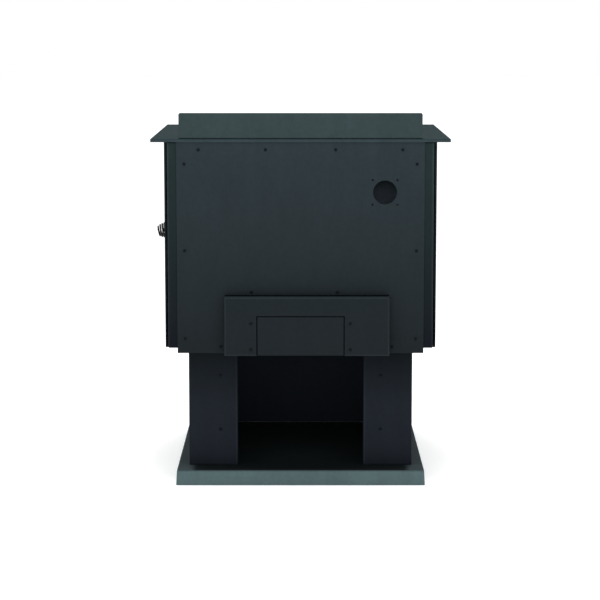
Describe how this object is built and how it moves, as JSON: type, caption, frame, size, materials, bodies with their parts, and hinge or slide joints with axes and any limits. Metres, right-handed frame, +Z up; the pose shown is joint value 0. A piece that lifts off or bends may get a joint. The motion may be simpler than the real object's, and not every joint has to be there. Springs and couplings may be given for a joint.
{
  "type": "wood burning stove",
  "caption": "Pedestal wood stove of plate steel: glass door, coil latch handle, rear heat shield with blower port, outside-air box, top flue collar and brick-lined firebox.",
  "frame": {"origin": "centre of the base's underside, on the floor", "axes": "+Z up; the door faces -Y and the heat shield and air box face +Y; +X is the side the door handle points to"},
  "size_m": [0.7853, 0.695, 0.95],
  "materials": {
    "stove_paint": "matt high-temperature paint",
    "plain_steel": "mill steel, darkened",
    "bare_steel": "bare, satin",
    "handle_wire": "black oxide spring wire",
    "fireclay": "rough fired clay",
    "baffle_fibre": "pressed fibre board",
    "rope_seal": "braided glass rope",
    "ceramic_glass": "clear glass ceramic"
  },
  "bodies": {
    "root": {"base_pan": "stove_paint", "pedestal_side_left": "stove_paint", "pedestal_side_right": "stove_paint", "pedestal_post_left": "stove_paint", "pedestal_post_right": "stove_paint", "pedestal_front": "stove_paint", "front_plate": "stove_paint", "top_plate": "stove_paint", "flue_collar": "stove_paint", "rear_upstand": "stove_paint", "rear_shield": "stove_paint", "shield_top_rail": "stove_paint", "side_shield_left": "stove_paint", "side_shield_right": "stove_paint", "side_panel_left": "stove_paint", "side_panel_right": "stove_paint", "air_box": "stove_paint", "air_box_cover": "stove_paint", "ash_lip": "stove_paint", "hinge_bracket_upper": "stove_paint", "hinge_bracket_lower": "stove_paint", "base_channel_front": "stove_paint", "base_channel_centre": "stove_paint", "base_channel_rear": "stove_paint", "support_rail_left": "plain_steel", "support_rail_right": "plain_steel", "firebox_floor": "plain_steel", "firebox_shell": "plain_steel", "bottom_shield": "plain_steel", "air_inlet_pipe": "plain_steel", "air_riser": "plain_steel", "primary_air_duct": "plain_steel", "air_channel_left": "plain_steel", "air_channel_right": "plain_steel", "air_wash_channel": "plain_steel", "log_retainer": "plain_steel", "secondary_tube_1": "bare_steel", "secondary_tube_2": "bare_steel", "secondary_tube_3": "bare_steel", "hinge_pin_upper": "bare_steel", "hinge_pin_lower": "bare_steel", "firebrick_floor": "fireclay", "firebrick_rear": "fireclay", "firebrick_left": "fireclay", "firebrick_right": "fireclay", "baffle_board_left": "baffle_fibre", "baffle_board_right": "baffle_fibre"},
    "door": {"door_frame": "stove_paint", "door_gasket": "rope_seal", "door_glass": "ceramic_glass", "glass_gasket": "rope_seal", "glass_retainer_upper": "bare_steel", "glass_retainer_lower": "bare_steel", "hinge_lug_upper": "stove_paint", "hinge_lug_lower": "stove_paint"},
    "latch": {"handle_rod": "stove_paint", "handle_coil": "handle_wire", "latch_cam": "plain_steel"},
    "air_control": {"air_slide": "plain_steel", "air_knob": "handle_wire"}
  },
  "joints": [
    {"name": "door_hinge", "type": "hinge", "parent": "root", "child": "door", "pos_m": [-0.275, -0.301, 0.6], "axis": [0, 0, -1], "range_deg": [0, 115]},
    {"name": "handle_turn", "type": "hinge", "parent": "door", "child": "latch", "pos_m": [0.218, -0.335, 0.6], "axis": [0, 1, 0], "range_deg": [0, 70]},
    {"name": "air_control_slide", "type": "slide", "parent": "root", "child": "air_control", "axis": [0, -1, 0], "range_m": [0, 0.06]}
  ]
}
